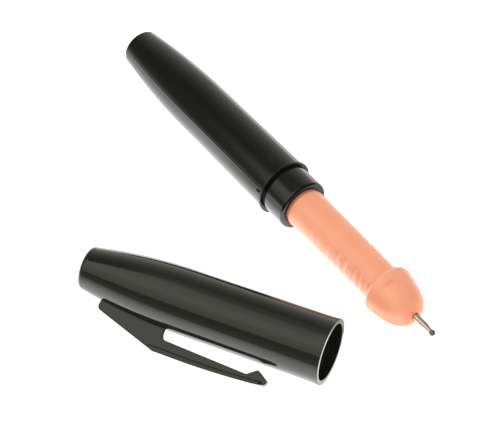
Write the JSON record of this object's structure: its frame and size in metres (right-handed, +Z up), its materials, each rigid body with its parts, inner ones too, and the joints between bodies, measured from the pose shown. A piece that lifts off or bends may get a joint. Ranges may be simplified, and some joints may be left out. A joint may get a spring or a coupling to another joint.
{
  "type": "novelty ballpoint pen",
  "caption": "Novelty ballpoint pen lying uncapped: tapered glossy barrel, collar, soft flesh-toned phallic grip sleeve with a metal point, and a separate tapered cap with a pocket clip.",
  "frame": {"origin": "middle of the laid-out pen and cap, on the surface that they lie on", "axes": "+X along the pen from its tail to its point, +Y from the cap towards the pen, +Z up"},
  "size_m": [0.1448, 0.0789, 0.0201],
  "materials": {
    "black_gloss": "glossy black moulded polystyrene",
    "flesh_vinyl": "soft satin flesh-coloured vinyl with fine folds",
    "tube_plastic": "milky extruded ink tube",
    "ink": "thick dark ballpoint paste",
    "point_metal": "turned nickel-plated brass",
    "ball_steel": "ground hard-metal ball",
    "bead_wax": "dark blue-grey sealing bead"
  },
  "bodies": {
    "pen": {"barrel": "black_gloss", "collar": "black_gloss", "grip_sleeve": "flesh_vinyl", "refill_tube": "tube_plastic", "ink_column": "ink", "ballpoint_tip": "point_metal"},
    "ball": {"writing_ball": "ball_steel"},
    "bead": {"tip_bead": "bead_wax"},
    "cap": {"cap_shell": "black_gloss", "clip_fin": "black_gloss"},
    "clip": {"clip_arm": "black_gloss"}
  },
  "joints": [
    {"name": "cap_pull", "type": "slide", "parent": "pen", "child": "cap", "axis": [-0.8755, -0.4833, 0], "range_m": [0, 0.075]},
    {"name": "clip_flex", "type": "hinge", "parent": "cap", "child": "clip", "pos_m": [0.02646, -0.03191, 0.00121], "axis": [-0.2375, 0.4455, -0.8632], "range_deg": [0, 3], "stiffness_Nm_per_rad": 1.5},
    {"name": "ball_roll", "type": "hinge", "parent": "pen", "child": "ball", "pos_m": [0.07077, 0.03009, 0.01042], "axis": [0, 1, 0], "continuous": true},
    {"name": "bead_pull", "type": "slide", "parent": "pen", "child": "bead", "axis": [0.9998, 0, 0.0177], "range_m": [0, 0.008]}
  ]
}
